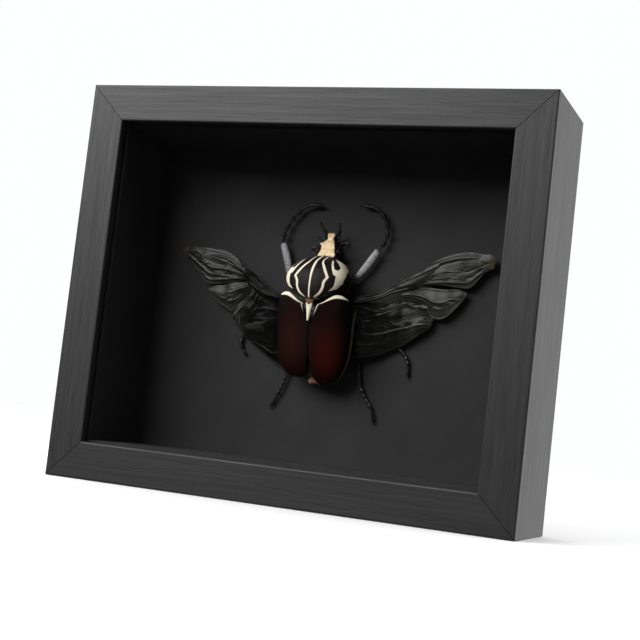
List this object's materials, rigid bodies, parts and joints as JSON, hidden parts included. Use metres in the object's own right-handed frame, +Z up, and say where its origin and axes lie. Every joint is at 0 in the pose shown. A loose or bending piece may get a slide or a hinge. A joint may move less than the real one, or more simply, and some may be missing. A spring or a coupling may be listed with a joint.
{
  "type": "framed goliath beetle",
  "caption": "Deep black box frame with a glass front that holds one mounted goliath beetle, hind wings spread, on a black board.",
  "frame": {"origin": "centre of the underside of the frame, on the surface that it stands on", "axes": "+X to the right along the frame's width, +Y from the glass towards the back, +Z up"},
  "size_m": [0.3, 0.0758, 0.25],
  "materials": {
    "stained_wood": "charcoal-black open-grain stain, satin",
    "glass": "clear picture glass",
    "black_card": "matt black foam board and mount board",
    "hardboard": "plain brown hardboard",
    "zinc_steel": "zinc plated",
    "pronotum": "velvety black-brown with cream stripes",
    "cream": "matt cream",
    "elytra": "velvety maroon",
    "black_chitin": "glossy black",
    "wing_membrane": "smoky clear membrane"
  },
  "bodies": {
    "root": {"abdomen": "black_chitin", "antenna_left": "black_chitin", "antenna_right": "black_chitin", "backing_board": "black_card", "button_screw_lower_left": "zinc_steel", "button_screw_lower_right": "zinc_steel", "button_screw_upper_left": "zinc_steel", "button_screw_upper_right": "zinc_steel", "elytron_left": "elytra", "elytron_right": "elytra", "femur_front_left": "black_chitin", "femur_front_right": "black_chitin", "femur_hind_left": "black_chitin", "femur_hind_right": "black_chitin", "femur_middle_left": "black_chitin", "femur_middle_right": "black_chitin", "frame_bottom_bar": "stained_wood", "frame_left_bar": "stained_wood", "frame_right_bar": "stained_wood", "frame_top_bar": "stained_wood", "glass_pane": "glass", "hanger_screw_left": "zinc_steel", "hanger_screw_right": "zinc_steel", "head": "cream", "hindwing_left": "wing_membrane", "hindwing_right": "wing_membrane", "pronotum": "pronotum", "rear_cover": "hardboard", "sawtooth_hanger": "zinc_steel", "scutellum": "cream", "spacer_bottom": "black_card", "spacer_left": "black_card", "spacer_right": "black_card", "spacer_top": "black_card", "tarsus_front_left": "black_chitin", "tarsus_front_right": "black_chitin", "tarsus_hind_left": "black_chitin", "tarsus_hind_right": "black_chitin", "tarsus_middle_left": "black_chitin", "tarsus_middle_right": "black_chitin", "thorax": "black_chitin", "tibia_front_left": "black_chitin", "tibia_front_right": "black_chitin", "tibia_hind_left": "black_chitin", "tibia_hind_right": "black_chitin", "tibia_middle_left": "black_chitin", "tibia_middle_right": "black_chitin", "turn_button_lower_left": "zinc_steel", "turn_button_lower_right": "zinc_steel", "turn_button_upper_left": "zinc_steel", "turn_button_upper_right": "zinc_steel"}
  },
  "joints": []
}
